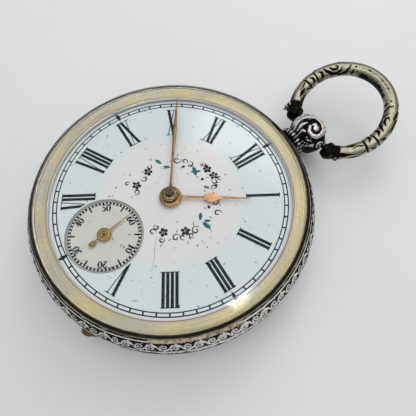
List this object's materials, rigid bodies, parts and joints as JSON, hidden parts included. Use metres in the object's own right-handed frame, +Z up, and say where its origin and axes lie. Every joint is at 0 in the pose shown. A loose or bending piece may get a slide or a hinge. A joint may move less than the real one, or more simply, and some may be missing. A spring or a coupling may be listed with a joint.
{
  "type": "open face pocket watch",
  "caption": "Key-wound open face pocket watch: hinged bezel with crystal, hinged back, engraved band, enamel dial with hands, going train, and a swivelling bow on a carved pendant.",
  "frame": {"origin": "centre of the flat on the back cover, on which the watch lies", "axes": "+Z up out of the dial, +Y towards the pendant and bow (12 o'clock), +X towards 3 o'clock"},
  "size_m": [0.047, 0.0689, 0.0124],
  "materials": {
    "silver_case": "polished, light wear",
    "silver_engraved": "engraved and oxidised in the hollows",
    "silver_oxidised": "cast relief, dark in the hollows",
    "champagne": "fine circular brushing",
    "crystal_glass": "clear polished",
    "enamel": "fired, glossy",
    "gold_hand": "polished gilt",
    "gilt_brass": "frosted gilt",
    "polished_steel": "polished",
    "blued_steel": "heat blued"
  },
  "bodies": {
    "case": {"case_band": "silver_engraved", "pendant": "silver_oxidised", "pendant_collar": "silver_oxidised", "pendant_cap": "champagne", "bow_screw_left": "silver_oxidised", "bow_screw_right": "silver_oxidised", "bezel_hinge_pin": "polished_steel", "back_hinge_pin": "polished_steel", "cuvette_hinge_pin": "polished_steel", "case_screw_a": "polished_steel", "case_screw_b": "polished_steel", "dial": "enamel", "seconds_dial": "enamel", "main_plate": "gilt_brass", "barrel_bridge": "gilt_brass", "train_bridge": "gilt_brass", "balance_cock": "gilt_brass", "escape_cock": "gilt_brass", "barrel_bridge_screw_a": "polished_steel", "barrel_bridge_screw_b": "polished_steel", "train_bridge_screw_a": "polished_steel", "train_bridge_screw_b": "polished_steel", "balance_cock_screw": "polished_steel", "escape_cock_screw": "polished_steel", "click_screw": "polished_steel", "click_spring": "blued_steel"},
    "bow_body": {"bow": "silver_engraved"},
    "bezel_body": {"bezel": "silver_case", "rehaut": "champagne", "crystal": "crystal_glass"},
    "back_body": {"back_cover": "silver_case"},
    "cuvette_body": {"cuvette": "gilt_brass"},
    "barrel_body": {"barrel": "gilt_brass", "barrel_cover": "gilt_brass", "mainspring": "blued_steel"},
    "winding_body": {"barrel_arbor": "polished_steel", "ratchet_wheel": "polished_steel"},
    "click_body": {"click": "polished_steel"},
    "centre_body": {"centre_wheel": "gilt_brass", "centre_pinion": "polished_steel", "setting_arbor": "polished_steel", "cannon_pinion": "polished_steel", "minute_hand": "gold_hand"},
    "third_body": {"third_wheel": "gilt_brass", "third_pinion": "polished_steel"},
    "fourth_body": {"fourth_wheel": "gilt_brass", "fourth_pinion": "polished_steel", "seconds_hand": "gold_hand"},
    "escape_body": {"escape_wheel": "polished_steel", "escape_pinion": "polished_steel"},
    "balance_body": {"balance_wheel": "gilt_brass", "balance_staff": "polished_steel", "hairspring": "blued_steel"},
    "regulator_body": {"regulator": "polished_steel"},
    "minute_wheel_body": {"minute_wheel": "gilt_brass"},
    "hour_body": {"hour_wheel": "gilt_brass", "hour_hand": "gold_hand"}
  },
  "joints": [
    {"name": "bow_swivel", "type": "hinge", "parent": "case", "child": "bow_body", "pos_m": [0, 0.0296, 0.0051], "axis": [1, 0, 0], "range_deg": [-120, 95]},
    {"name": "bezel_hinge", "type": "hinge", "parent": "case", "child": "bezel_body", "pos_m": [-0.02096, 0.00763, 0.0091], "axis": [-0.342, -0.9397, 0], "range_deg": [0, 90]},
    {"name": "back_hinge", "type": "hinge", "parent": "case", "child": "back_body", "pos_m": [-0.01106, 0.02079, 0.00335], "axis": [0.8829, 0.4695, 0], "range_deg": [0, 100]},
    {"name": "cuvette_hinge", "type": "hinge", "parent": "case", "child": "cuvette_body", "pos_m": [-0.01049, 0.01973, 0.00375], "axis": [0.8829, 0.4695, 0], "range_deg": [0, 85]},
    {"name": "seconds_arbor", "type": "hinge", "parent": "case", "child": "fourth_body", "pos_m": [0, -0.01197, 0.0055], "axis": [0, 0, -1], "continuous": true},
    {"name": "centre_arbor", "type": "hinge", "parent": "case", "child": "centre_body", "pos_m": [0, 0, 0.0055], "axis": [0, 0, -1], "continuous": true},
    {"name": "third_arbor", "type": "hinge", "parent": "case", "child": "third_body", "pos_m": [-0.00328, -0.00641, 0.005], "axis": [0, 0, -1], "continuous": true},
    {"name": "escape_arbor", "type": "hinge", "parent": "case", "child": "escape_body", "pos_m": [0.00525, -0.01137, 0.0052], "axis": [0, 0, -1], "continuous": true},
    {"name": "barrel_turn", "type": "hinge", "parent": "case", "child": "barrel_body", "pos_m": [-0.003, 0.00848, 0.0045], "axis": [0, 0, -1], "continuous": true},
    {"name": "minute_wheel_turn", "type": "hinge", "parent": "case", "child": "minute_wheel_body", "pos_m": [0.00328, 0.00229, 0.0076], "axis": [0, 0, -1], "continuous": true},
    {"name": "hour_wheel_turn", "type": "hinge", "parent": "case", "child": "hour_body", "pos_m": [0, 0, 0.0085], "axis": [0, 0, -1], "continuous": true},
    {"name": "winding_arbor", "type": "hinge", "parent": "case", "child": "winding_body", "pos_m": [-0.003, 0.00848, 0.0024], "axis": [0, 0, -1], "range_deg": [0, 1440]},
    {"name": "click_pivot", "type": "hinge", "parent": "case", "child": "click_body", "pos_m": [0.0019, 0.0116, 0.00235], "axis": [0, 0, -1], "range_deg": [0, 12]},
    {"name": "balance_staff", "type": "hinge", "parent": "case", "child": "balance_body", "pos_m": [0.0076, -0.0092, 0.004], "axis": [0, 0, -1], "range_deg": [-135, 135]},
    {"name": "regulator_turn", "type": "hinge", "parent": "case", "child": "regulator_body", "pos_m": [0.0076, -0.0092, 0.0024], "axis": [0, 0, -1], "range_deg": [-20, 20]}
  ],
  "couplings": [
    {"joint": "centre_arbor", "follows": "seconds_arbor", "ratio": 0.016667},
    {"joint": "third_arbor", "follows": "seconds_arbor", "ratio": -0.13333},
    {"joint": "escape_arbor", "follows": "seconds_arbor", "ratio": -10},
    {"joint": "barrel_turn", "follows": "seconds_arbor", "ratio": -0.0020833},
    {"joint": "minute_wheel_turn", "follows": "seconds_arbor", "ratio": -0.0055556},
    {"joint": "hour_wheel_turn", "follows": "seconds_arbor", "ratio": 0.0013889},
    {"joint": "cuvette_hinge", "follows": "back_hinge", "ratio": 0.85}
  ]
}
